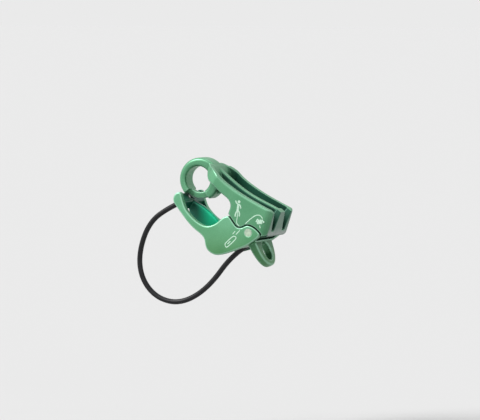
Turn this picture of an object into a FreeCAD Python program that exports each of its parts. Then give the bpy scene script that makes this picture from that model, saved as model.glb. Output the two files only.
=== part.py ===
import FreeCAD, Part
import math
import os

# Assisted braking belay device for two ropes: two forgings, a rivet and a keeper cable.
# The outlines are drawn with the body level: x runs from the anchor eye to the rope end,
# y from the near side plate to the far one, and z up through the rope slots.
# The finished pieces are then tilted about the eye, as the device hangs in use.
# The origin is the centre of the anchor eye. Lengths are in millimetres, angles in degrees.

# Overall sizes
BODY_LENGTH = 56.0
BODY_HEIGHT = 42.0
BODY_WIDTH = 34.0
HANG_TILT = 33.0

# Forged walls
PLATE_THICK = 3.8
MID_PLATE_THICK = 4.4
EDGE_ROUND = 1.1
LEVER_EDGE_ROUND = 0.8
MID_EDGE_ROUND = 1.2
CORNER_ROUND = 1.6

# Anchor eye
EYE_BORE = 15.0
EYE_WALL = 3.9
EYE_CROWN = 2.0
EYE_CROWN_TURN = 35.0
EYE_DEPTH = 12.0
EYE_ROUND = 1.8
EYE_RELIEF_TURNS = (258.0, 335.0)
STRUT_WALL = 3.3

# Rope end
END_CORNER_ROUND = 4.5
END_TOP_ROUND = 2.4
END_FOOT_ROUND = 2.2
NOTCH_TOP_WIDTH = 9.4
NOTCH_FOOT_WIDTH = 3.0
NOTCH_DEPTH = 11.2

# Pivot
RIVET_SHANK = 3.6
RIVET_HEAD = 4.4
RIVET_HEAD_DEPTH = 0.8
RIVET_PLAY = 0.05
POST_RADIUS = 4.6
POST_SIDE_PLAY = 0.35
SEAT_PLAY = 0.45

# Gap between the body's side plates and the lever's cheeks
SEAM_LENGTH = 22.0
SEAM_GAP = 0.8

# Lever web and release eye
WEB_REACH = 3.5
WEB_PLAY = 0.4
WEB_THICK = 3.6
WEB_BAND_TURNS = (256.0, 276.0)
RELEASE_WIDTH = 24.2
RELEASE_LENGTH = 15.6
RELEASE_ROOT = 3.0
RELEASE_ROOT_THICK = 5.5
RELEASE_TIP_THICK = 3.9
RELEASE_TILT = 35.0
RELEASE_HOLE_WIDTH = 11.4
RELEASE_SHOULDER = 1.4
RELEASE_RIM = 3.2
RELEASE_ROUND = 0.9

# Keeper cable
SHEATH_DIAMETER = 3.0
CORE_DIAMETER = 1.6
SHEATH_PLAY = 0.05
FERRULE_DIAMETER = 3.6
FERRULE_LENGTH = 1.6
SPOT_FACE_DEPTH = 0.5
SEAT_REACH = 6.0
NECK_LENGTH = 0.9
UPPER_LEAD = 11.0
LOWER_LEAD = 11.5
KEEPER_SPAN = 100.0

# Cuts run this far past the faces that they open
OVERRUN = 2.0

HALF_WIDTH = BODY_WIDTH / 2
PLATE_INNER = HALF_WIDTH - PLATE_THICK
MID_HALF = MID_PLATE_THICK / 2
SLOT_CENTRE = (MID_HALF + PLATE_INNER) / 2

# Points of the side outlines are shares of the body's length along x and of its height along z.
# A run starts where the run before it ends: one point is a straight line, more are a smooth curve.
PIVOT_SHARE = (0.820, -0.112)
BODY_SHARES = [
    [(0.193, 0.292), (0.268, 0.272), (0.430, 0.257), (0.620, 0.268), (0.780, 0.292), (0.928, 0.318)],
    [(0.992, 0.000)],
    [(0.900, -0.130)],
    [(0.620, -0.240)],
    [(0.535, -0.090)],
    [(0.523, -0.020), (0.505, 0.048), (0.462, 0.090), (0.375, 0.105), (0.268, 0.122),
     (0.190, 0.142), (0.125, 0.178), (0.056, 0.260)],
    [(0.080, 0.302)],
]
BODY_ROUNDS = [END_TOP_ROUND, END_FOOT_ROUND, CORNER_ROUND, CORNER_ROUND, CORNER_ROUND, EDGE_ROUND,
               EDGE_ROUND]
SADDLE_SHARES = [
    [(0.060, 0.300), (0.095, 0.293), (0.130, 0.270), (0.160, 0.235), (0.178, 0.190), (0.180, 0.140)],
    [(0.110, 0.182), (0.070, 0.232), (0.030, 0.290)],
]
HORN_SHARES = [
    [(0.050, 0.284), (0.075, 0.294), (0.130, 0.298), (0.193, 0.292), (0.225, 0.283)],
    [(0.225, 0.150)],
    [(0.190, 0.144), (0.139, 0.167), (0.098, 0.194), (0.070, 0.235), (0.040, 0.270)],
]
MIDDLE_SHARES = [
    [(0.268, 0.258), (0.430, 0.242), (0.620, 0.254), (0.780, 0.284), (0.880, 0.300)],
    [(0.880, -0.020)],
    [(0.740, -0.080)],
    [(0.690, -0.030), (0.600, 0.035), (0.500, 0.070), (0.370, 0.070), (0.255, -0.010),
     (0.180, -0.130), (0.080, -0.230)],
    [(0.080, 0.290)],
]
WALL_SHARES = [
    [(0.880, 0.305), (0.926, 0.300)],
    [(0.988, 0.018)],
    [(0.990, -0.006), (0.984, -0.034), (0.968, -0.056), (0.945, -0.076)],
    [(0.905, -0.120)],
    [(0.820, -0.112)],
    [(0.738, -0.100)],
    [(0.775, -0.020), (0.830, 0.050), (0.868, 0.120)],
    [(0.868, 0.305)],
]
LEVER_SHARES = [
    [(0.932, -0.045), (0.934, -0.086), (0.920, -0.143), (0.886, -0.248), (0.822, -0.376),
     (0.745, -0.512), (0.695, -0.586), (0.643, -0.636), (0.582, -0.652), (0.529, -0.638),
     (0.491, -0.598), (0.457, -0.552), (0.411, -0.526), (0.338, -0.519), (0.261, -0.507),
     (0.175, -0.479), (0.088, -0.440), (0.011, -0.405), (-0.034, -0.376), (-0.059, -0.324),
     (-0.056, -0.262), (-0.036, -0.226), (-0.014, -0.222), (0.006, -0.243), (0.036, -0.281),
     (0.068, -0.314), (0.105, -0.350), (0.157, -0.379), (0.220, -0.400), (0.291, -0.410),
     (0.350, -0.405), (0.404, -0.381), (0.445, -0.333), (0.471, -0.281), (0.493, -0.205),
     (0.511, -0.143), (0.545, -0.090)],
    [(0.600, 0.000)],
    [(0.900, 0.030)],
]
LEVER_ROUNDS = [CORNER_ROUND, CORNER_ROUND, CORNER_ROUND]
BLOCK_SHARES = [
    [(0.762, -0.316)], [(0.828, -0.366)], [(0.886, -0.248)], [(0.914, -0.178)], [(0.896, -0.166)],
    [(0.775, -0.200)],
]
# The rib between the two rope bights, from the web to the block
RIB_SHARES = [
    [(0.100, -0.293), (0.170, -0.286), (0.252, -0.290), (0.371, -0.315), (0.470, -0.345), (0.600, -0.330),
     (0.700, -0.275), (0.800, -0.205)],
    [(0.800, -0.340)],
    [(0.700, -0.385), (0.600, -0.440), (0.500, -0.490), (0.420, -0.530), (0.338, -0.548), (0.261, -0.542),
     (0.175, -0.516), (0.088, -0.468), (0.035, -0.410)],
    [(0.035, -0.294)],
]
RELEASE_START_SHARE = (0.896, -0.174)

# The seam's middle line, in shares of its length, from the pivot
SEAM_SHARES = [(-0.780, 0.080), (-0.640, 0.045), (-0.545, 0.012), (-0.455, -0.022), (-0.365, -0.046),
               (-0.285, -0.036), (-0.225, 0.012), (-0.185, 0.078), (-0.125, 0.145), (-0.035, 0.183),
               (0.060, 0.196), (0.150, 0.192), (0.228, 0.178), (0.320, 0.152)]

# The flare from the eye to the side plates, seen from above, in shares of body length and half width
FLARE_SHARES = [(0.000, 0.353), (0.030, 0.470), (0.060, 0.600), (0.100, 0.750), (0.150, 0.890), (0.205, 0.975),
                (0.270, 1.030)]

# The release eye seen square to its face, in shares of its length and of half its width
RELEASE_SHARES = [(0.150, 0.985), (0.450, 0.900), (0.750, 0.700), (0.930, 0.400), (1.000, 0.000)]

# Keeper sockets: where each cable axis leaves the lever, the upper one by its turn round the eye,
# and the way it points there
UPPER_MOUTH_TURN = 261.6
UPPER_SOCKET_TURN = 235.0
LOWER_SOCKET_SHARE = (0.803, -0.345)
LOWER_SOCKET_TURN = 240.0

# The keeper cable as the device hangs, between its straight leads out of the sockets: corners of its
# path in shares of its span
KEEPER_SHARES = [(-0.328, -0.254), (-0.394, -0.435), (-0.374, -0.585), (-0.274, -0.692), (-0.124, -0.716),
                 (0.042, -0.622)]
# Each corner takes an arc that starts this share of the shorter run before it
ARC_SHARE = 0.45


def at(x, z, y=0.0):
    return FreeCAD.Vector(x, y, z)


def placed(share):
    return at(share[0] * BODY_LENGTH, share[1] * BODY_HEIGHT)


def heading(turn):
    return at(math.cos(math.radians(turn)), math.sin(math.radians(turn)))


ORIGIN = at(0.0, 0.0)
ACROSS = FreeCAD.Vector(0, 1, 0)
TILT = FreeCAD.Rotation(ACROSS, HANG_TILT)
FERRULE_START = SPOT_FACE_DEPTH + NECK_LENGTH
PIVOT = placed(PIVOT_SHARE)
EYE_OUTER = EYE_BORE / 2 + EYE_WALL + EYE_CROWN / 2
EYE_CENTRE = heading(EYE_CROWN_TURN) * (EYE_CROWN / 2)
WEB_INNER = EYE_OUTER + WEB_PLAY
UPPER_MOUTH = EYE_CENTRE + heading(UPPER_MOUTH_TURN) * (WEB_INNER + WEB_THICK)
LOWER_MOUTH = placed(LOWER_SOCKET_SHARE)


def curve(points):
    line = Part.BSplineCurve()
    line.interpolate(points)
    return line.toShape()


def outline(runs):
    edges = []
    start = runs[-1][-1]
    for run in runs:
        if len(run) == 1:
            edges.append(Part.makeLine(start, run[0]))
        else:
            edges.append(curve([start] + run))
        start = run[-1]
    return Part.Face(Part.Wire(edges))


def share_runs(shares):
    return [[placed(point) for point in run] for run in shares]


def slab(face, low, high):
    lying = face.copy()
    lying.translate(ACROSS * low)
    return lying.extrude(ACROSS * (high - low))


def round_corners(plate, runs, rounds):
    """Round the corner of the outline at the end of each run."""
    for run, radius in zip(runs, rounds):
        upright = [e for e in plate.Edges if e.BoundBox.YLength > PLATE_THICK / 2]
        corner = run[-1]
        nearest = min(upright, key=lambda e: math.hypot(e.Vertexes[0].X - corner.x, e.Vertexes[0].Z - corner.z))
        plate = plate.makeFillet(radius, [nearest])
    return plate


def edges_at(solid, y):
    slack = EDGE_ROUND / 100
    return [e for e in solid.Edges if abs(e.BoundBox.YMin - y) < slack and abs(e.BoundBox.YMax - y) < slack]


def side_plate(shares, rounds, rim_round):
    """The near one of two forged side plates, with its outer rim rounded."""
    runs = share_runs(shares)
    plate = slab(outline(runs), -HALF_WIDTH, -PLATE_INNER)
    plate = round_corners(plate, runs, rounds)
    return plate.makeFillet(rim_round, edges_at(plate, -HALF_WIDTH))


def with_mirror(solid):
    return [solid, solid.mirror(ORIGIN, ACROSS)]


def joined(solids):
    return solids[0].fuse(solids[1:]).removeSplitter()


def cross_bar(radius, centre, length):
    return Part.makeCylinder(radius, length, centre - ACROSS * (length / 2), ACROSS)


def seam_line(offset):
    """The seam's points, moved square to its run: up with a plus, down with a minus."""
    middle = [PIVOT + at(x * SEAM_LENGTH, z * SEAM_LENGTH) for x, z in SEAM_SHARES]
    moved = []
    for i, point in enumerate(middle):
        run = middle[min(i + 1, len(middle) - 1)] - middle[max(i - 1, 0)]
        square = at(-run.z, run.x)
        square.normalize()
        moved.append(point + square * offset)
    return moved


def seam_cutters(offset, depth, inner):
    """What lies on one side of the seam, over both side plates: above it for a plus depth."""
    line = seam_line(offset)
    edge = curve(line)
    corners = [line[-1], line[-1] + at(0.0, depth), line[0] + at(0.0, depth), line[0]]
    sides = [Part.makeLine(a, b) for a, b in zip(corners, corners[1:])]
    face = Part.Face(Part.Wire([edge] + sides))
    return with_mirror(slab(face, -HALF_WIDTH - OVERRUN, -inner))


def anchor_eye():
    ring = cross_bar(EYE_OUTER, EYE_CENTRE, EYE_DEPTH)
    ring = ring.cut(cross_bar(EYE_BORE / 2, ORIGIN, EYE_DEPTH))
    ring = ring.makeFillet(EYE_ROUND, edges_at(ring, -EYE_DEPTH / 2) + edges_at(ring, EYE_DEPTH / 2))
    thin = wedge_face(ORIGIN, EYE_RELIEF_TURNS)
    around = slab(thin, -EYE_DEPTH, EYE_DEPTH).cut(cross_bar(EYE_BORE / 2 + STRUT_WALL, ORIGIN, BODY_WIDTH))
    return ring.cut(with_mirror(slab(thin, -EYE_DEPTH, -MID_HALF)) + [around])


def wedge_face(apex, turns):
    """A large triangle from an apex, between two headings."""
    return Part.Face(Part.makePolygon([apex] + [apex + heading(turn) * BODY_LENGTH for turn in turns] + [apex]))


def flare_cutter():
    """The space outside the flare, on the near side."""
    points = [FreeCAD.Vector(x * BODY_LENGTH, -y * HALF_WIDTH, -BODY_HEIGHT / 2) for x, y in FLARE_SHARES]
    far_y = -HALF_WIDTH - OVERRUN
    start, end = points[0], points[-1]
    corners = [end, FreeCAD.Vector(end.x, far_y, end.z), FreeCAD.Vector(start.x, far_y, start.z), start]
    sides = [Part.makeLine(a, b) for a, b in zip(corners, corners[1:])]
    return Part.Face(Part.Wire([curve(points)] + sides)).extrude(at(0.0, BODY_HEIGHT))


def horns():
    """The crests that run from the eye's top into the side plates, one plate thick under the flare."""
    crest = slab(outline(share_runs(HORN_SHARES)), -HALF_WIDTH + EDGE_ROUND, HALF_WIDTH - EDGE_ROUND)
    inner = [FreeCAD.Vector(x * BODY_LENGTH, PLATE_THICK - y * HALF_WIDTH, -BODY_HEIGHT / 2)
             for x, y in FLARE_SHARES]
    opposite = [FreeCAD.Vector(point.x, -point.y, point.z) for point in reversed(inner)]
    sides = [Part.makeLine(inner[-1], opposite[0]), Part.makeLine(opposite[-1], inner[0])]
    face = Part.Face(Part.Wire([curve(inner), sides[0], curve(opposite), sides[1]]))
    return crest.cut(face.extrude(at(0.0, BODY_HEIGHT)))


def end_corner_cutter():
    """What the round takes off the near upright corner of the rope end."""
    top, foot = placed(BODY_SHARES[0][-1]), placed(BODY_SHARES[1][0])
    down = foot - top
    down.normalize()
    inward = at(-down.z, down.x) * -1
    if inward.x > 0:
        inward = inward * -1
    start = top - down * (BODY_HEIGHT / 2)
    corner = start - ACROSS * HALF_WIDTH
    outer = corner - inward * OVERRUN - ACROSS * OVERRUN
    side = END_CORNER_ROUND + OVERRUN
    square = Part.makePolygon([outer, outer + inward * side, outer + inward * side + ACROSS * side,
                               outer + ACROSS * side, outer])
    block = Part.Face(square).extrude(down * (BODY_HEIGHT * 2))
    centre = corner + inward * END_CORNER_ROUND + ACROSS * END_CORNER_ROUND
    return block.cut(Part.makeCylinder(END_CORNER_ROUND, BODY_HEIGHT * 2, centre, down))


def notch_cutter():
    """The V-groove of the near rope slot, through the end wall."""
    top = placed(WALL_SHARES[0][0])
    start_x = placed(WALL_SHARES[7][0]).x - OVERRUN
    foot_z = top.z - NOTCH_DEPTH
    wide, narrow = NOTCH_TOP_WIDTH / 2, NOTCH_FOOT_WIDTH / 2
    high = top.z + OVERRUN
    points = [at(start_x, high, -SLOT_CENTRE - wide), at(start_x, top.z, -SLOT_CENTRE - wide),
              at(start_x, foot_z, -SLOT_CENTRE - narrow), at(start_x, foot_z, -SLOT_CENTRE + narrow),
              at(start_x, top.z, -SLOT_CENTRE + wide), at(start_x, high, -SLOT_CENTRE + wide)]
    face = Part.Face(Part.makePolygon(points + points[:1]))
    return face.extrude(at(BODY_LENGTH - start_x + OVERRUN, 0.0))


def middle_plate():
    plate = slab(outline(share_runs(MIDDLE_SHARES)), -MID_HALF, MID_HALF)
    top = [e for e in edges_at(plate, -MID_HALF) + edges_at(plate, MID_HALF)
           if e.BoundBox.XLength > BODY_LENGTH / 2]
    return plate.makeFillet(MID_EDGE_ROUND, top)


def slot_body():
    plate = side_plate(BODY_SHARES, BODY_ROUNDS, EDGE_ROUND)
    saddle = slab(outline(share_runs(SADDLE_SHARES)), -HALF_WIDTH + EDGE_ROUND, HALF_WIDTH - EDGE_ROUND)
    wall = slab(outline(share_runs(WALL_SHARES)), -PLATE_INNER, PLATE_INNER)
    post = cross_bar(POST_RADIUS, PIVOT, 2 * PLATE_INNER)
    frame = joined(with_mirror(plate) + [saddle, horns(), wall, post, middle_plate()])
    cuts = with_mirror(flare_cutter()) + with_mirror(end_corner_cutter()) + with_mirror(notch_cutter())
    cuts = cuts + seam_cutters(SEAM_GAP / 2, -BODY_HEIGHT, PLATE_INNER - POST_SIDE_PLAY)
    frame = frame.cut(cuts)
    body = joined([frame, anchor_eye()])
    bores = [cross_bar(EYE_BORE / 2, ORIGIN, BODY_WIDTH),
             cross_bar(RIVET_SHANK / 2 + RIVET_PLAY, PIVOT, BODY_WIDTH)]
    return body.cut(bores).removeSplitter()


def lever_web(face):
    """The bar between the arm ends, hollowed to clear the anchor eye."""
    bar = slab(face, -PLATE_INNER, PLATE_INNER)
    reach = Part.makeBox(WEB_REACH + BODY_LENGTH, BODY_WIDTH, BODY_HEIGHT,
                         at(-BODY_LENGTH, -BODY_HEIGHT, -HALF_WIDTH))
    band = slab(wedge_face(EYE_CENTRE, WEB_BAND_TURNS), -PLATE_INNER, PLATE_INNER)
    band = band.common(cross_bar(WEB_INNER + WEB_THICK, EYE_CENTRE, BODY_WIDTH))
    return joined([bar.common(reach), band, lever_rib()]).cut(cross_bar(WEB_INNER, EYE_CENTRE, BODY_WIDTH))


def lever_rib():
    plate = slab(outline(share_runs(RIB_SHARES)), -MID_HALF, MID_HALF)
    long_edges = [e for e in edges_at(plate, -MID_HALF) + edges_at(plate, MID_HALF)
                  if e.BoundBox.XLength > BODY_LENGTH / 2]
    return plate.makeFillet(MID_EDGE_ROUND, long_edges)


def release_eye():
    start = placed(RELEASE_START_SHARE)
    along = heading(-RELEASE_TILT)
    under = at(along.z, -along.x)
    half = RELEASE_WIDTH / 2
    root = start - along * RELEASE_ROOT
    tip = start + along * (RELEASE_LENGTH + OVERRUN)
    side = Part.makePolygon([root, tip, tip + under * RELEASE_TIP_THICK,
                             root + under * RELEASE_ROOT_THICK, root])
    wedge = slab(Part.Face(side), -half, half)
    above = start - under * OVERRUN
    rim = [above - along * (RELEASE_ROOT + OVERRUN) - ACROSS * half]
    rim = rim + [above + along * (u * RELEASE_LENGTH) - ACROSS * (v * half) for u, v in RELEASE_SHARES]
    rim = rim + [point + ACROSS * (2 * (ORIGIN.y - point.y)) for point in reversed(rim[:-1])]
    back = Part.makeLine(rim[-1], rim[0])
    plan = Part.Face(Part.Wire([curve(rim), back])).extrude(under * (RELEASE_ROOT_THICK + 2 * OVERRUN))
    tongue = wedge.common(plan).cut(release_hole(above, along, under))
    rims = [e for e in tongue.Edges if (e.CenterOfMass - start) * along > 0 and is_rim(e, along)]
    return tongue.makeFillet(RELEASE_ROUND, rims)


def is_rim(edge, along):
    """Whether an edge runs round a face, rather than through the thickness or straight across the root."""
    if len(edge.Vertexes) < 2:
        return True
    run = edge.Vertexes[-1].Point - edge.Vertexes[0].Point
    return abs(run.y) > RELEASE_ROUND or abs(run * along) > RELEASE_ROUND


def release_hole(above, along, under):
    """An oval through hole with straight ends across and round sides."""
    radius = (RELEASE_LENGTH - RELEASE_RIM - RELEASE_SHOULDER) / 2
    middle = above + along * (RELEASE_LENGTH - RELEASE_RIM - radius)
    depth = under * (RELEASE_ROOT_THICK + 2 * OVERRUN)
    spread = RELEASE_HOLE_WIDTH / 2 - radius
    ends = [Part.makeCylinder(radius, depth.Length, middle + ACROSS * y, under) for y in (-spread, spread)]
    corner = middle - along * radius - ACROSS * spread
    far_corner = corner + ACROSS * (2 * spread)
    square = Part.makePolygon([corner, corner + along * (2 * radius), far_corner + along * (2 * radius),
                               far_corner, corner])
    return joined([Part.Face(square).extrude(depth)] + ends)


def brake_lever():
    face = outline(share_runs(LEVER_SHARES))
    cheek = side_plate(LEVER_SHARES, LEVER_ROUNDS, LEVER_EDGE_ROUND)
    block = slab(outline(share_runs(BLOCK_SHARES)), -PLATE_INNER, PLATE_INNER)
    lever = joined(with_mirror(cheek) + [lever_web(face), block, release_eye()])
    cuts = seam_cutters(-SEAM_GAP / 2, BODY_HEIGHT, PLATE_INNER - POST_SIDE_PLAY)
    cuts.append(cross_bar(POST_RADIUS + SEAT_PLAY, PIVOT, 2 * PLATE_INNER))
    cuts = cuts + keeper_socket(UPPER_MOUTH, UPPER_SOCKET_TURN)
    cuts = cuts + keeper_socket(LOWER_MOUTH, LOWER_SOCKET_TURN)
    lever = lever.cut(cuts)
    return lever.cut(rivet()).removeSplitter()


def keeper_socket(mouth, turn):
    """A stepped hole: a shallow seat for the sheath, a neck for the core, a pocket for the ferrule."""
    inward = heading(turn) * -1
    seat = Part.makeCylinder(SHEATH_DIAMETER / 2 + SHEATH_PLAY, SPOT_FACE_DEPTH + SEAT_REACH,
                             mouth - inward * SEAT_REACH, inward)
    neck = Part.makeCylinder(CORE_DIAMETER / 2 + SHEATH_PLAY, BODY_HEIGHT / 4, mouth, inward)
    pocket = Part.makeCylinder(FERRULE_DIAMETER / 2, FERRULE_LENGTH + OVERRUN,
                               mouth + inward * FERRULE_START, inward)
    return [seat, neck, pocket]


def ferrule(mouth, turn):
    inward = heading(turn) * -1
    start = mouth + inward * FERRULE_START
    stop = Part.makeCylinder(FERRULE_DIAMETER / 2, FERRULE_LENGTH, start, inward)
    return stop.cut(Part.makeCylinder(CORE_DIAMETER / 2, FERRULE_LENGTH, start, inward))


def keeper_corners():
    """The cable's path as the device hangs, from seat to seat."""
    upper = keeper_lead(UPPER_MOUTH, UPPER_SOCKET_TURN, UPPER_LEAD)
    lower = keeper_lead(LOWER_MOUTH, LOWER_SOCKET_TURN, LOWER_LEAD)
    return upper + [at(x * KEEPER_SPAN, z * KEEPER_SPAN) for x, z in KEEPER_SHARES] + lower[::-1]


def keeper_lead(mouth, turn, length):
    """The cable's seat in its socket and the corner at the end of the straight run out of it."""
    seat = mouth - heading(turn) * SPOT_FACE_DEPTH
    return [TILT.multVec(point) for point in (seat, seat + heading(turn) * length)]


def keeper_path(corners):
    """Straight runs between the corners, joined by tangent arcs."""
    edges = []
    last = corners[0]
    for before, corner, after in zip(corners, corners[1:], corners[2:]):
        back, onward = before - corner, after - corner
        reach = ARC_SHARE * min(back.Length, onward.Length)
        back.normalize()
        onward.normalize()
        half_turn = (math.pi - back.getAngle(onward)) / 2
        radius = reach / math.tan(half_turn)
        halfway = back + onward
        halfway.normalize()
        start, end = corner + back * reach, corner + onward * reach
        middle = corner + halfway * (radius / math.cos(half_turn) - radius)
        edges.append(Part.makeLine(last, start))
        edges.append(Part.Arc(start, middle, end).toShape())
        print("keeper arc radius", round(radius, 1), "turn", round(math.degrees(2 * half_turn), 1))
        last = end
    edges.append(Part.makeLine(last, corners[-1]))
    return Part.Wire(edges)


def swept(path, diameter):
    start = path.OrderedVertexes[0].Point
    ahead = path.OrderedEdges[0].tangentAt(0.0)
    ring = Part.Wire(Part.makeCircle(diameter / 2, start, ahead))
    return path.makePipeShell([ring], True, False)


def keeper_sheath():
    path = keeper_path(keeper_corners())
    print("keeper sheath length", round(path.Length, 1))
    tube = swept(path, SHEATH_DIAMETER)
    return tube.cut(swept(path, CORE_DIAMETER + 2 * SHEATH_PLAY))


def keeper_core():
    corners = keeper_corners()
    print("keeper corners", [(round(c.x, 2), round(c.z, 2)) for c in corners])
    path = keeper_path(corners)
    strand = swept(path, CORE_DIAMETER)
    tails = []
    for end, beside in [(corners[0], corners[1]), (corners[-1], corners[-2])]:
        outward = end - beside
        tails.append(Part.makeCylinder(CORE_DIAMETER / 2, NECK_LENGTH + FERRULE_LENGTH, end, outward))
    return joined([strand] + tails)


def rivet():
    head = RIVET_HEAD / 2
    shank = cross_bar(RIVET_SHANK / 2, PIVOT, BODY_WIDTH)
    near = Part.makeCone(head, RIVET_SHANK / 2, RIVET_HEAD_DEPTH, PIVOT - ACROSS * HALF_WIDTH, ACROSS)
    return joined([shank] + with_mirror(near))


def hung(solid):
    tilted = solid.copy()
    tilted.rotate(ORIGIN, ACROSS, HANG_TILT)
    return tilted


def main():
    os.makedirs("parts", exist_ok=True)
    pieces = {
        "slot_body": hung(slot_body()),
        "brake_lever": hung(brake_lever()),
        "pivot_rivet": hung(rivet()),
        "keeper_ferrule_upper": hung(ferrule(UPPER_MOUTH, UPPER_SOCKET_TURN)),
        "keeper_ferrule_lower": hung(ferrule(LOWER_MOUTH, LOWER_SOCKET_TURN)),
        "keeper_sheath": keeper_sheath(),
        "keeper_core": keeper_core(),
    }
    for name, solid in pieces.items():
        print(name, solid.isValid(), "solids", len(solid.Solids), "volume", round(solid.Volume, 1))
        solid.exportStep(os.path.join("parts", name + ".step"))


main()
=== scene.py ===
import math

import bmesh
import bpy
from mathutils import Matrix, Vector


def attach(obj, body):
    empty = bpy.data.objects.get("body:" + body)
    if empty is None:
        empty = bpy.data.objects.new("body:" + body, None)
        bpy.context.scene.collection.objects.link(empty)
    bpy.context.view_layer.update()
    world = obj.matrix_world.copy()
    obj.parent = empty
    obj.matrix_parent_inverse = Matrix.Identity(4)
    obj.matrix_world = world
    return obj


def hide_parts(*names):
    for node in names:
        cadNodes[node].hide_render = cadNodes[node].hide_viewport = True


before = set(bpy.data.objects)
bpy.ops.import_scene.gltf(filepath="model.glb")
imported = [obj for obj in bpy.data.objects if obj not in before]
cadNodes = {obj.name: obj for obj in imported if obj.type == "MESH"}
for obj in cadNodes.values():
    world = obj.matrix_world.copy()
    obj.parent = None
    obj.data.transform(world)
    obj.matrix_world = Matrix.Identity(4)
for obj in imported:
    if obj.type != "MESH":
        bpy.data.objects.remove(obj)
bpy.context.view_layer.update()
print("device loaded", sorted(cadNodes))


# small helpers, all lengths in metres

def linkObject(newObject):
    bpy.context.scene.collection.objects.link(newObject)
    return newObject


def inMetres(pointsMm):
    return [tuple(value / 1000 for value in point) for point in pointsMm]


def grey(value):
    return (value, value, value)


# camera at the photograph's angle: 23 degrees round, 3 degrees up

cameraView = {
    "turnDegrees": 23.0,
    "liftDegrees": 3.0,
    "distance": 2.5,
    "lens": 328.9,
    "rightOfEye": 0.02195,   # frame centre, from the middle of the anchor eye
    "belowEye": 0.01767,
    "clip": (0.05, 50.0),
}


def placeCamera(view):
    turn = math.radians(view["turnDegrees"])
    lift = math.radians(view["liftDegrees"])
    right = Vector((math.cos(turn), math.sin(turn), 0))
    back = Vector((math.sin(turn) * math.cos(lift), -math.cos(turn) * math.cos(lift), math.sin(lift)))
    up = back.cross(right)
    aim = right * view["rightOfEye"] - up * view["belowEye"]
    cameraData = bpy.data.cameras.new("photoCamera")
    cameraData.lens = view["lens"]
    cameraData.clip_start, cameraData.clip_end = view["clip"]
    camera = linkObject(bpy.data.objects.new("photoCamera", cameraData))
    camera.location = aim + back * view["distance"]
    camera.rotation_euler = (-back).to_track_quat("-Z", "Y").to_euler()
    bpy.context.scene.camera = camera


placeCamera(cameraView)
print("camera placed")


# node helpers for the finishes

def newMaterial(name):
    material = bpy.data.materials.new(name)
    material.use_nodes = True
    nodes = material.node_tree.nodes
    return material, nodes, material.node_tree.links, nodes["Principled BSDF"]


def objectCoordinates(nodes):
    return nodes.new("ShaderNodeTexCoord").outputs["Object"]


def noiseAt(nodes, links, coordinates, scale, detail=3.0):
    noise = nodes.new("ShaderNodeTexNoise")
    noise.inputs["Scale"].default_value = scale
    noise.inputs["Detail"].default_value = detail
    links.new(coordinates, noise.inputs["Vector"])
    return noise.outputs["Fac"]


def rampOver(nodes, links, factor, stops):
    ramp = nodes.new("ShaderNodeValToRGB")
    while len(ramp.color_ramp.elements) < len(stops):
        ramp.color_ramp.elements.new(0.5)
    for element, (position, colour) in zip(ramp.color_ramp.elements, stops):
        element.position = position
        element.color = (*colour, 1)
    links.new(factor, ramp.inputs["Fac"])
    return ramp.outputs["Color"]


def rampBetween(nodes, links, factor, ends, low, high):
    return rampOver(nodes, links, factor, [(ends[0], low), (ends[1], high)])


def blended(nodes, links, mode, amount, first, second):
    mixer = nodes.new("ShaderNodeMixRGB")
    mixer.blend_type = mode
    if isinstance(amount, float):
        mixer.inputs["Fac"].default_value = amount
    else:
        links.new(amount, mixer.inputs["Fac"])
    for socket, value in ((mixer.inputs["Color1"], first), (mixer.inputs["Color2"], second)):
        if isinstance(value, tuple):
            socket.default_value = (*value, 1)
        else:
            links.new(value, socket)
    return mixer.outputs["Color"]


def slopeOver(nodes, links, value, nought, one):
    slope = nodes.new("ShaderNodeMapRange")
    slope.inputs["From Min"].default_value = nought
    slope.inputs["From Max"].default_value = one
    links.new(value, slope.inputs["Value"])
    return slope.outputs["Result"]


def product(nodes, links, factors):
    total = factors[0]
    for factor in factors[1:]:
        multiply = nodes.new("ShaderNodeMath")
        multiply.operation = "MULTIPLY"
        links.new(total, multiply.inputs[0])
        links.new(factor, multiply.inputs[1])
        total = multiply.outputs["Value"]
    return total


def roughnessFrom(nodes, links, factor, low, high):
    spread = nodes.new("ShaderNodeMapRange")
    spread.inputs["To Min"].default_value = low
    spread.inputs["To Max"].default_value = high
    links.new(factor, spread.inputs["Value"])
    return spread.outputs["Result"]


def addBump(nodes, links, bsdf, height, look):
    bump = nodes.new("ShaderNodeBump")
    bump.inputs["Strength"].default_value = look["bumpStrength"]
    bump.inputs["Distance"].default_value = look["bumpHeight"]
    links.new(height, bump.inputs["Height"])
    links.new(bump.outputs["Normal"], bsdf.inputs["Normal"])


# green anodised forgings

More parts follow.
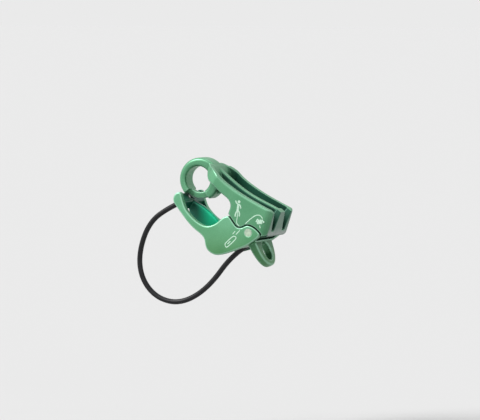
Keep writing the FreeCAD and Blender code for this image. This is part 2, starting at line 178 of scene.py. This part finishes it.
anodising = {   # what both forgings' finishes share
    "cloudScale": 45.0,
    "cloudRange": (0.35, 0.65),
    "grainScale": 2600.0,
    "grainDetail": 2.0,
    "grainRange": (0.40, 0.60),
    "grainTone": 0.90,
    "heartFade": 0.006,
    "crestRange": (0.75, 0.40),
    "hollowSamples": 12,
    "hollowReach": 0.014,
    "hollowRange": (0.32, 0.96),
    "edgeHighlightRun": [(0.508, 0.0), (0.522, 0.55), (0.560, 0.60), (0.575, 0.0)],   # sharpness, paleness of the painted edge highlight
    "metallic": 0.40,
    "rough": (0.34, 0.44),
    "bumpStrength": 0.25,
    "bumpHeight": 0.00002,
}
bodyGreen = {
    "shade": (0.108, 0.365, 0.185),
    "light": (0.155, 0.440, 0.240),
    "edge": (0.300, 0.570, 0.410),
    "insideShadingRun": [(0.010, (0.012, 0.090, 0.055)), (0.020, (0.016, 0.125, 0.072))],   # x, painted shade between the plates
    "heartReach": (0.010, 0.0600),
    "crestWay": (0.545, 0.0, 0.839),   # square to the slots' top edges, which are spared the painted shade
    "hollowFrom": (-0.002, 0.008),     # the ring's bore gets light from both sides
    "hollowShadeTone": (0.10, 0.22, 0.22),
    "footShadingTone": (0.86, 0.88, 0.84),
    "footShadingReach": (-0.034, 0.000),
}
# the lever has the body's anodising, painted a lighter green: painted light
leverGreenPaintedLighter = {
    "shade": (0.160, 0.490, 0.265),
    "light": (0.225, 0.590, 0.350),
    "edge": (0.480, 0.860, 0.640),
    "insideShadingRun": [(-0.002, (0.010, 0.170, 0.105)), (0.006, (0.008, 0.660, 0.350)),
                 (0.013, (0.008, 0.660, 0.350)), (0.019, (0.010, 0.170, 0.105))],   # x, painted light on the rib, painted shadow to either side
    "heartReach": (-0.014, 0.034),
    "crestWay": (0.0, 0.0, 0.0),       # none: the rib's crest gets the same painted light as its sides
    "hollowFrom": (-0.041, -0.040),    # all of the lever
    "hollowShadeTone": (0.14, 0.34, 0.32),
    "footShadingTone": (0.48, 0.55, 0.38),
    "footShadingReach": (-0.041, -0.019),
}
plateInner = {"dark": 0.0134, "plain": 0.0143}   # half widths at which the painted shade between the plates, and the end wall's wear and sheen, end
endWallWearAndSheen = {
    "tone": (0.215, 0.370, 0.275),
    # painted highlight: paler towards the wall's foot
    "footShadingTone": (0.530, 0.600, 0.560),
    "footShadingReach": (-0.0300, -0.0265),
    "amount": 0.85,
    "faceWay": (0.948, 0.0, -0.318),   # square to the end wall
    "reach": (0.0516, 0.0531),
    "flatness": (0.80, 0.95),          # the grooves' walls stay dyed
    "streakScale": (60, 1300, 60),
    "streakRange": (0.30, 0.70),
    "streakDepth": 0.6,
}


def alongWay(nodes, links, vector, way):
    dot = nodes.new("ShaderNodeVectorMath")
    dot.operation = "DOT_PRODUCT"
    dot.inputs[1].default_value = way
    links.new(vector, dot.inputs[0])
    return dot.outputs["Value"]


def facing(nodes, links, way):
    return alongWay(nodes, links, nodes.new("ShaderNodeNewGeometry").outputs["Normal"], way)


def betweenPlates(nodes, links, place):
    plain, dark = plateInner["plain"], plateInner["dark"]
    return product(nodes, links, [slopeOver(nodes, links, place.outputs["Y"], -plain, -dark),
                                  slopeOver(nodes, links, place.outputs["Y"], plain, dark)])


def paintEndWallWearAndSheen(nodes, links, coordinates, place, dye, wearAndSheen):
    # paler grey streaks down the end wall: partly dye rubbed off by use, partly a painted reflection;
    # paler towards its foot, a painted highlight
    outTo = alongWay(nodes, links, coordinates, wearAndSheen["faceWay"])
    onFace = slopeOver(nodes, links, outTo, *wearAndSheen["reach"])
    stretch = nodes.new("ShaderNodeMapping")
    stretch.inputs["Scale"].default_value = wearAndSheen["streakScale"]
    links.new(coordinates, stretch.inputs["Vector"])
    streaks = noiseAt(nodes, links, stretch.outputs["Vector"], 1.0)
    bare = rampBetween(nodes, links, streaks, wearAndSheen["streakRange"],
                       grey(wearAndSheen["amount"] * wearAndSheen["streakDepth"]), grey(wearAndSheen["amount"]))
    flatOn = slopeOver(nodes, links, facing(nodes, links, wearAndSheen["faceWay"]), *wearAndSheen["flatness"])
    low = slopeOver(nodes, links, place.outputs["Z"], wearAndSheen["footShadingReach"][1], wearAndSheen["footShadingReach"][0])
    tone = rampBetween(nodes, links, low, (0.0, 1.0), wearAndSheen["tone"], wearAndSheen["footShadingTone"])
    wearAndSheenMask = product(nodes, links, [onFace, flatOn, bare, betweenPlates(nodes, links, place)])
    return blended(nodes, links, "MIX", wearAndSheenMask, dye, tone)


def anodisedForging(name, look, wearAndSheen=None):
    material, nodes, links, bsdf = newMaterial(name)
    coordinates = objectCoordinates(nodes)
    cloud = noiseAt(nodes, links, coordinates, anodising["cloudScale"])
    grain = noiseAt(nodes, links, coordinates, anodising["grainScale"], anodising["grainDetail"])
    dye = rampBetween(nodes, links, cloud, anodising["cloudRange"], look["shade"], look["light"])
    fleck = rampBetween(nodes, links, grain, anodising["grainRange"],
                        grey(anodising["grainTone"]), grey(1.0))
    dye = blended(nodes, links, "MULTIPLY", 1.0, dye, fleck)
    # painted shade: darker between the side plates and towards the foot, sparing faces that turn up; on
    # the lever, painted light along the rib with painted shadow to either side
    place = nodes.new("ShaderNodeSeparateXYZ")
    links.new(coordinates, place.inputs["Vector"])
    start, end = look["heartReach"]
    inner = product(nodes, links, [
        slopeOver(nodes, links, place.outputs["X"], start, start + anodising["heartFade"]),
        slopeOver(nodes, links, place.outputs["X"], end, end - anodising["heartFade"]),
        betweenPlates(nodes, links, place),
        slopeOver(nodes, links, facing(nodes, links, look["crestWay"]), *anodising["crestRange"]),
    ])
    first, last = look["insideShadingRun"][0][0], look["insideShadingRun"][-1][0]
    along = slopeOver(nodes, links, place.outputs["X"], first, last)
    stops = [((x - first) / (last - first), tone) for x, tone in look["insideShadingRun"]]
    insideShading = rampOver(nodes, links, along, stops)
    dye = blended(nodes, links, "MIX", inner, dye, insideShading)
    # painted shade in hollows and in the gaps between pieces, found by an occlusion test
    hollow = nodes.new("ShaderNodeAmbientOcclusion")
    hollow.samples = anodising["hollowSamples"]
    hollow.inputs["Distance"].default_value = anodising["hollowReach"]
    paintedHollowShade = rampBetween(nodes, links, hollow.outputs["AO"], anodising["hollowRange"],
                          look["hollowShadeTone"], grey(1.0))
    roofed = slopeOver(nodes, links, place.outputs["X"], *look["hollowFrom"])
    dye = blended(nodes, links, "MULTIPLY", roofed, dye, paintedHollowShade)
    # painted shade: darker towards the foot
    foot = slopeOver(nodes, links, place.outputs["Z"], look["footShadingReach"][1], look["footShadingReach"][0])
    dye = blended(nodes, links, "MULTIPLY", foot, dye, look["footShadingTone"])
    # painted highlight along the sharper edges, kept off the faces between the plates
    pointiness = nodes.new("ShaderNodeNewGeometry").outputs["Pointiness"]
    pale = [(sharpness, grey(amount)) for sharpness, amount in anodising["edgeHighlightRun"]]
    rim = rampOver(nodes, links, pointiness, pale)
    outer = slopeOver(nodes, links, inner, 1.0, 0.0)
    dye = blended(nodes, links, "MIX", product(nodes, links, [rim, outer]), dye, look["edge"])
    if wearAndSheen:
        dye = paintEndWallWearAndSheen(nodes, links, coordinates, place, dye, wearAndSheen)
    links.new(dye, bsdf.inputs["Base Color"])
    links.new(roughnessFrom(nodes, links, cloud, *anodising["rough"]), bsdf.inputs["Roughness"])
    bsdf.inputs["Metallic"].default_value = anodising["metallic"]
    addBump(nodes, links, bsdf, grain, anodising)
    return material


bodyShape = {"voxel": 0.00030, "smoothTurns": 6, "smoothFactor": 0.5}
leverShape = {"voxel": 0.00029, "smoothTurns": 3, "smoothFactor": 0.5}


def softenForging(node, shape):
    # the forging's edges are rounded by the dies: an even skin, then a light smoothing
    skin = node.modifiers.new("evenSkin", "REMESH")
    skin.mode = "VOXEL"
    skin.voxel_size = shape["voxel"]
    skin.use_smooth_shade = True
    soft = node.modifiers.new("softEdges", "SMOOTH")
    soft.factor = shape["smoothFactor"]
    soft.iterations = shape["smoothTurns"]


releaseRim = {"middle": (0.0392, 0.0, -0.0423), "whole": 0.0062, "ends": 0.0083, "fill": 0.00028}


def fillRim(node, rim):
    # the smoothing thins the release eye's rim, so its skin is let out again round the hole
    group = bpy.data.node_groups.new("fullRim", "GeometryNodeTree")
    for way in ("INPUT", "OUTPUT"):
        group.interface.new_socket(name="Geometry", in_out=way, socket_type="NodeSocketGeometry")
    nodes, links = group.nodes, group.links
    away = nodes.new("ShaderNodeVectorMath")
    away.operation = "DISTANCE"
    away.inputs[1].default_value = rim["middle"]
    links.new(nodes.new("GeometryNodeInputPosition").outputs["Position"], away.inputs[0])
    near = slopeOver(nodes, links, away.outputs["Value"], rim["ends"], rim["whole"])
    outwards = nodes.new("ShaderNodeVectorMath")
    outwards.operation = "SCALE"
    links.new(nodes.new("GeometryNodeInputNormal").outputs["Normal"], outwards.inputs[0])
    amount = nodes.new("ShaderNodeMath")
    amount.operation = "MULTIPLY"
    amount.inputs[1].default_value = rim["fill"]
    links.new(near, amount.inputs[0])
    links.new(amount.outputs["Value"], outwards.inputs["Scale"])
    letOut = nodes.new("GeometryNodeSetPosition")
    links.new(nodes.new("NodeGroupInput").outputs["Geometry"], letOut.inputs["Geometry"])
    links.new(outwards.outputs["Vector"], letOut.inputs["Offset"])
    links.new(letOut.outputs["Geometry"], nodes.new("NodeGroupOutput").inputs["Geometry"])
    node.modifiers.new("fullRim", "NODES").node_group = group


def dressNode(nodeName, material):
    node = cadNodes[nodeName]
    node.data.materials.clear()
    node.data.materials.append(material)
    for polygon in node.data.polygons:
        polygon.use_smooth = True
    return node


bodyFinish = anodisedForging("bodyAnodisedGreen", bodyGreen, endWallWearAndSheen)
leverFinish = anodisedForging("leverAnodisedGreen", leverGreenPaintedLighter)
softenForging(dressNode("slot_body", bodyFinish), bodyShape)
softenForging(dressNode("brake_lever", leverFinish), leverShape)
fillRim(cadNodes["brake_lever"], releaseRim)
print("forgings dressed")


# steel rivet and ferrules

turning = {
    "mottleScale": 700.0,
    "mottleRange": (0.35, 0.65),
    "rough": (0.34, 0.48),
    "bumpStrength": 0.3,
    "bumpHeight": 0.00003,
}
rivetLook = {"colour": (0.55, 0.68, 0.52), "shade": (0.42, 0.54, 0.42), "metallic": 0.8}
ferruleLook = {"colour": (0.55, 0.55, 0.53), "shade": (0.40, 0.40, 0.39), "metallic": 1.0}


def turnedSteel(name, look):
    material, nodes, links, bsdf = newMaterial(name)
    coordinates = objectCoordinates(nodes)
    mottle = noiseAt(nodes, links, coordinates, turning["mottleScale"])
    tone = rampBetween(nodes, links, mottle, turning["mottleRange"], look["shade"], look["colour"])
    links.new(tone, bsdf.inputs["Base Color"])
    links.new(roughnessFrom(nodes, links, mottle, *turning["rough"]), bsdf.inputs["Roughness"])
    bsdf.inputs["Metallic"].default_value = look["metallic"]
    addBump(nodes, links, bsdf, mottle, turning)
    return material


dressNode("pivot_rivet", turnedSteel("rivetSteel", rivetLook))
ferruleFinish = turnedSteel("ferruleSteel", ferruleLook)
dressNode("keeper_ferrule_upper", ferruleFinish)
dressNode("keeper_ferrule_lower", ferruleFinish)
print("rivet and ferrules dressed")


# keeper cable: a black sheath on a steel core, stiff, both ends in the lever

keeperCable = {
    "route": [   # x, y, z in millimetres
        (-9.38, 0, -12.08), (-19.58, 0, -16.2), (-32.8, 0, -25.4), (-39.4, 0, -43.5), (-37.4, 0, -58.5),
        (-27.4, 0, -69.2), (-12.4, 0, -71.6), (4.2, 0, -62.2), (20.02, 0, -41.64), (30.27, 0, -36.42),
    ],
    "ringSteps": 6,
    "runSteps": 16,
    "sheathDiameter": 0.0030,
    "coreDiameter": 0.0016,
    "length": 0.145,
}
sheathLook = {
    "dark": (0.004, 0.004, 0.005),
    "scuffed": (0.012, 0.012, 0.014),
    "scuffScale": 320.0,
    "scuffRange": (0.35, 0.70),
    "rough": (0.36, 0.50),
    "specular": 0.30,
    "grainScale": 3000.0,
    "bumpStrength": 0.2,
    "bumpHeight": 0.00002,
}
coreLook = {
    "dark": (0.22, 0.22, 0.23),
    "bright": (0.60, 0.60, 0.62),
    "strandScale": 900.0,
    "strandRange": (0.2, 0.8),
    "roughness": 0.35,
    "bumpStrength": 0.5,
    "bumpHeight": 0.00005,
}


def roundCurve(name, route, diameter, fineness):
    curveData = bpy.data.curves.new(name, "CURVE")
    curveData.dimensions = "3D"
    curveData.bevel_depth = diameter / 2
    curveData.bevel_resolution = fineness["ringSteps"]
    curveData.use_fill_caps = True
    spline = curveData.splines.new("NURBS")
    spline.points.add(len(route) - 1)
    for controlPoint, place in zip(spline.points, inMetres(route)):
        controlPoint.co = (*place, 1)
    spline.order_u = min(3, len(route))
    spline.use_endpoint_u = True
    spline.resolution_u = fineness["runSteps"]
    spline.use_smooth = True
    return linkObject(bpy.data.objects.new(name, curveData))


def sheathPlastic():
    material, nodes, links, bsdf = newMaterial("sheathBlackPlastic")
    coordinates = objectCoordinates(nodes)
    scuff = noiseAt(nodes, links, coordinates, sheathLook["scuffScale"])
    grain = noiseAt(nodes, links, coordinates, sheathLook["grainScale"])
    tone = rampBetween(nodes, links, scuff, sheathLook["scuffRange"],
                       sheathLook["dark"], sheathLook["scuffed"])
    links.new(tone, bsdf.inputs["Base Color"])
    links.new(roughnessFrom(nodes, links, scuff, *sheathLook["rough"]), bsdf.inputs["Roughness"])
    bsdf.inputs["Specular IOR Level"].default_value = sheathLook["specular"]
    addBump(nodes, links, bsdf, grain, sheathLook)
    return material


def strandedSteel():
    material, nodes, links, bsdf = newMaterial("coreStrandedSteel")
    coordinates = objectCoordinates(nodes)
    wave = nodes.new("ShaderNodeTexWave")
    wave.inputs["Scale"].default_value = coreLook["strandScale"]
    wave.bands_direction = "DIAGONAL"
    links.new(coordinates, wave.inputs["Vector"])
    tone = rampBetween(nodes, links, wave.outputs["Fac"], coreLook["strandRange"],
                       coreLook["dark"], coreLook["bright"])
    links.new(tone, bsdf.inputs["Base Color"])
    bsdf.inputs["Metallic"].default_value = 1.0
    bsdf.inputs["Roughness"].default_value = coreLook["roughness"]
    addBump(nodes, links, bsdf, wave.outputs["Fac"], coreLook)
    return material


keeperSheath = roundCurve("keeperSheath", keeperCable["route"],
                          keeperCable["sheathDiameter"], keeperCable)
keeperSheath.data.materials.append(sheathPlastic())
keeperCore = roundCurve("keeperCore", keeperCable["route"],
                        keeperCable["coreDiameter"], keeperCable)
keeperCore.data.materials.append(strandedSteel())
for piece, nodeName, slotName in ((keeperSheath, "keeper_sheath", "sheath_black"),
                                  (keeperCore, "keeper_core", "core_steel")):
    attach(piece, "lever")
    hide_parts(nodeName)
print("keeper cable laid")


# pale laser marks on the near face, in own plain shapes

markLook = {
    "colour": (0.60, 0.86, 0.68),
    "dimming": 0.86,
    "speckleScale": 2200.0,
    "speckleRange": (0.35, 0.60),
    "metallic": 0.2,
    "roughness": 0.6,
    "bumpStrength": 0.2,
    "bumpHeight": 0.00002,
    "faceY": -0.017,
    "proud": 0.00005,
    "sunk": 0.00012,
    "ringSteps": 2,
    "runSteps": 8,
    "dotSides": 28,
}

# strokes: width, then (x, z) points, and dots, all in millimetres

climberHead = {"centre": (30.5, -11.6), "radius": 0.85}
climberMark = {
    "trunk": (1.70, [(30.15, -12.9), (29.9, -14.6), (29.6, -16.6)]),
    "armUp": (0.85, [(30.1, -13.0), (28.8, -12.9), (28.4, -10.9)]),
    "armOut": (0.85, [(30.2, -13.0), (31.6, -13.6), (31.5, -15.4)]),
    "legLeft": (0.95, [(29.5, -16.6), (28.2, -17.8), (28.1, -20.0)]),
    "legRight": (0.95, [(29.7, -16.6), (31.2, -17.7), (30.5, -19.9)]),
    "strand": (0.60, [(29.6, -16.8), (29.4, -20.6), (28.9, -22.8), (29.2, -24.3), (30.5, -25.2)]),
}
brakeMark = {
    "strand": (0.65, [(34.3, -24.0), (35.8, -22.6), (38.9, -20.1), (41.0, -19.0), (42.9, -18.9),
                      (44.3, -19.8), (44.8, -20.9)]),
    "palm": (2.00, [(41.4, -23.2), (43.0, -23.3), (44.6, -23.0)]),
    "thumb": (0.80, [(40.9, -22.9), (41.2, -21.6), (42.2, -21.2)]),
    "tail": (0.65, [(43.1, -24.7), (43.4, -26.3)]),
}
knuckles = [{"centre": centre, "radius": 0.58}
            for centre in ((42.4, -22.0), (43.5, -21.9), (44.6, -21.9), (45.4, -22.7))]
linkMark = {
    "outline": (0.70, [(21.9, -36.3), (22.3, -37.6), (23.6, -37.3), (28.4, -32.9), (28.8, -31.8),
                       (27.6, -31.1), (26.3, -31.5), (22.1, -35.2), (21.8, -36.0), (22.0, -36.6)]),
    "sleeve": (0.75, [(23.4, -35.7), (25.2, -34.1)]),
    "strandLeft": (0.65, [(26.6, -30.0), (28.1, -28.3)]),
    "strandRight": (0.65, [(28.6, -30.2), (30.9, -27.8)]),
}


def markMaterial():
    material, nodes, links, bsdf = newMaterial("laserMark")
    coordinates = objectCoordinates(nodes)
    speckle = noiseAt(nodes, links, coordinates, markLook["speckleScale"])
    pale = markLook["colour"]
    dim = tuple(value * markLook["dimming"] for value in pale)
    tone = rampBetween(nodes, links, speckle, markLook["speckleRange"], dim, pale)
    links.new(tone, bsdf.inputs["Base Color"])
    bsdf.inputs["Metallic"].default_value = markLook["metallic"]
    bsdf.inputs["Roughness"].default_value = markLook["roughness"]
    addBump(nodes, links, bsdf, speckle, markLook)
    return material


def markDepth(look):
    return look["faceY"] + (look["sunk"] - look["proud"]) / 2, look["sunk"] + look["proud"]


def flattenOnto(stroke, look):
    # a round stroke pressed flat: its front lies just proud of the face
    mesh = bpy.data.meshes.new_from_object(stroke.evaluated_get(bpy.context.evaluated_depsgraph_get()))
    bpy.data.objects.remove(stroke)
    middle, thickness = markDepth(look)
    reach = max(abs(vertex.co.y) for vertex in mesh.vertices)
    for vertex in mesh.vertices:
        vertex.co.y = middle + vertex.co.y / reach * thickness / 2
    return mesh


def dotMesh(name, dot, look):
    middle, thickness = markDepth(look)
    radius = dot["radius"] / 1000
    build = bmesh.new()
    bmesh.ops.create_cone(build, cap_ends=True, segments=look["dotSides"],
                          radius1=radius, radius2=radius, depth=thickness)
    mesh = bpy.data.meshes.new(name)
    build.to_mesh(mesh)
    build.free()
    centre = Vector((dot["centre"][0] / 1000, middle, dot["centre"][1] / 1000))
    mesh.transform(Matrix.Translation(centre) @ Matrix.Rotation(math.pi / 2, 4, "X"))
    return mesh


def joinMeshes(name, meshes):
    build = bmesh.new()
    for mesh in meshes:
        build.from_mesh(mesh)
    joinedMesh = bpy.data.meshes.new(name)
    build.to_mesh(joinedMesh)
    build.free()
    return linkObject(bpy.data.objects.new(name, joinedMesh))


def engrave(name, strokes, dots, body, material):
    lines = [roundCurve(name + key, [(x, 0, z) for x, z in points], width / 1000, markLook)
             for key, (width, points) in strokes.items()]
    bpy.context.view_layer.update()
    meshes = [flattenOnto(line, markLook) for line in lines]
    meshes += [dotMesh(name, dot, markLook) for dot in dots]
    mark = joinMeshes(name, meshes)
    mark.data.materials.append(material)
    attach(mark, body)


laserMark = markMaterial()
engrave("climberMark", climberMark, [climberHead], "body", laserMark)
engrave("brakeHandMark", brakeMark, knuckles, "body", laserMark)
engrave("connectorMark", linkMark, [], "lever", laserMark)
print("laser marks cut")


# plain pale studio

studio = {
    "paper": (0.823, 0.823, 0.823),
    "floorPaper": (0.735, 0.735, 0.735),
    "floorUnder": (0.160, 0.160, 0.160),
    "floorZ": -0.145,
    "floorSize": 40.0,
    "worldLight": 0.40,
    "sunSpreadDegrees": 24,
    "suns": {   # strength, then where it comes from
        "keySun": (2.9, (-0.50, -0.62, 0.68)),
        "topSun": (0.35, (0.10, 0.30, 1.00)),
        "fillSun": (0.30, (0.70, -0.70, 0.20)),
    },
}


def seenDirectly(nodes, links):
    path = nodes.new("ShaderNodeLightPath")
    total = path.outputs["Is Camera Ray"]
    for kind in ("Is Glossy Ray", "Is Transmission Ray"):
        adder = nodes.new("ShaderNodeMath")
        adder.operation = "ADD"
        adder.use_clamp = True
        links.new(total, adder.inputs[0])
        links.new(path.outputs[kind], adder.inputs[1])
        total = adder.outputs["Value"]
    return total


def paperWorld(look):
    world = bpy.data.worlds.new("paleStudio")
    bpy.context.scene.world = world
    world.use_nodes = True
    nodes, links = world.node_tree.nodes, world.node_tree.links
    nodes.clear()
    seen = nodes.new("ShaderNodeBackground")
    seen.inputs["Color"].default_value = (*look["paper"], 1)
    lighting = nodes.new("ShaderNodeBackground")
    lighting.inputs["Color"].default_value = (1, 1, 1, 1)
    lighting.inputs["Strength"].default_value = look["worldLight"]
    choose = nodes.new("ShaderNodeMixShader")
    output = nodes.new("ShaderNodeOutputWorld")
    links.new(seenDirectly(nodes, links), choose.inputs["Fac"])
    links.new(lighting.outputs["Background"], choose.inputs[1])
    links.new(seen.outputs["Background"], choose.inputs[2])
    links.new(choose.outputs["Shader"], output.inputs["Surface"])


def paperFloor(look):
    half = look["floorSize"] / 2
    mesh = bpy.data.meshes.new("studioFloor")
    corners = ((-half, -half), (half, -half), (half, half), (-half, half))
    mesh.from_pydata([(x, y, look["floorZ"]) for x, y in corners], [], [(0, 1, 2, 3)])
    floor = linkObject(bpy.data.objects.new("studioFloor", mesh))
    material, nodes, links, bsdf = newMaterial("studioPaper")
    seen = seenDirectly(nodes, links)
    tone = blended(nodes, links, "MIX", seen, look["floorUnder"], look["floorPaper"])
    links.new(tone, bsdf.inputs["Base Color"])
    bsdf.inputs["Roughness"].default_value = 1.0
    bsdf.inputs["Specular IOR Level"].default_value = 0.0
    mesh.materials.append(material)


def softSun(name, strength, comesFrom, spread):
    lampData = bpy.data.lights.new(name, "SUN")
    lampData.energy = strength
    lampData.angle = math.radians(spread)
    lamp = linkObject(bpy.data.objects.new(name, lampData))
    lamp.rotation_euler = (-Vector(comesFrom)).to_track_quat("-Z", "Y").to_euler()


paperWorld(studio)
paperFloor(studio)
for lampName, (strength, comesFrom) in studio["suns"].items():
    softSun(lampName, strength, comesFrom, studio["sunSpreadDegrees"])
bpy.context.scene.view_settings.view_transform = "Standard"
print("studio lit")
